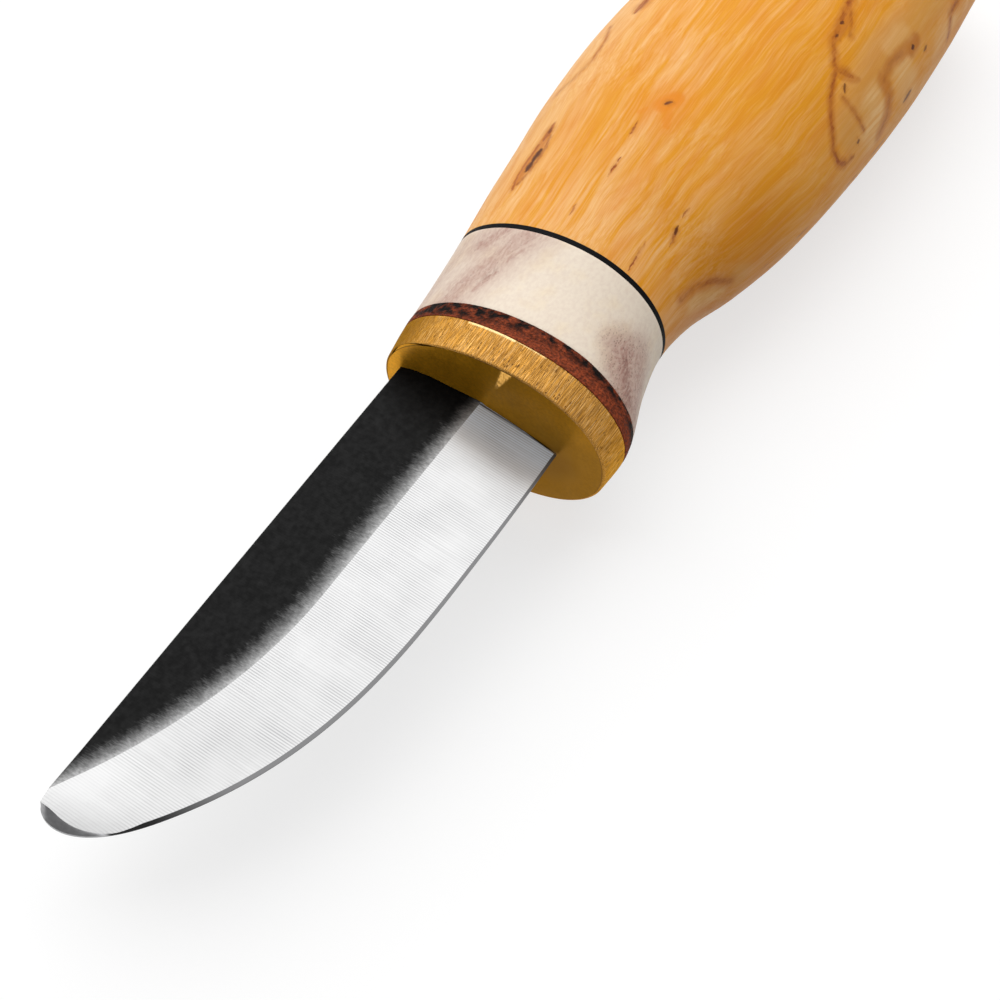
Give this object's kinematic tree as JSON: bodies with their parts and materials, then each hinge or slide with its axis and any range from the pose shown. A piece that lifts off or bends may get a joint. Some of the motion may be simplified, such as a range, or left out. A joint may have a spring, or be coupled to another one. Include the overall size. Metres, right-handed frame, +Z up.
{
  "type": "child's fixed-blade knife",
  "caption": "Short fixed-blade knife with a rounded tip, a brass front plate, leather and antler spacers and a curly birch handle on a hidden tang.",
  "frame": {"origin": "on the surface that the knife lies on, under the middle of its bounding box", "axes": "+X from the tip to the butt, +Y from the cutting edge to the spine, +Z up out of the blade's upper side; the blade's middle plane is parallel to XY"},
  "size_m": [0.1656, 0.0364, 0.0259],
  "materials": {
    "steel": "forge-black flats with a bright ground bevel",
    "brass": "polished front face, sanded side",
    "leather": "sanded edge, matte",
    "antler": "polished antler with porous core",
    "liner": "matte black",
    "birch": "oiled curly birch, satin",
    "epoxy": "cured adhesive"
  },
  "bodies": {
    "root": {"blade": "steel", "brass_bolster": "brass", "leather_spacer": "leather", "antler_spacer": "antler", "black_liner": "liner", "birch_handle": "birch", "tang_epoxy": "epoxy"}
  },
  "joints": []
}
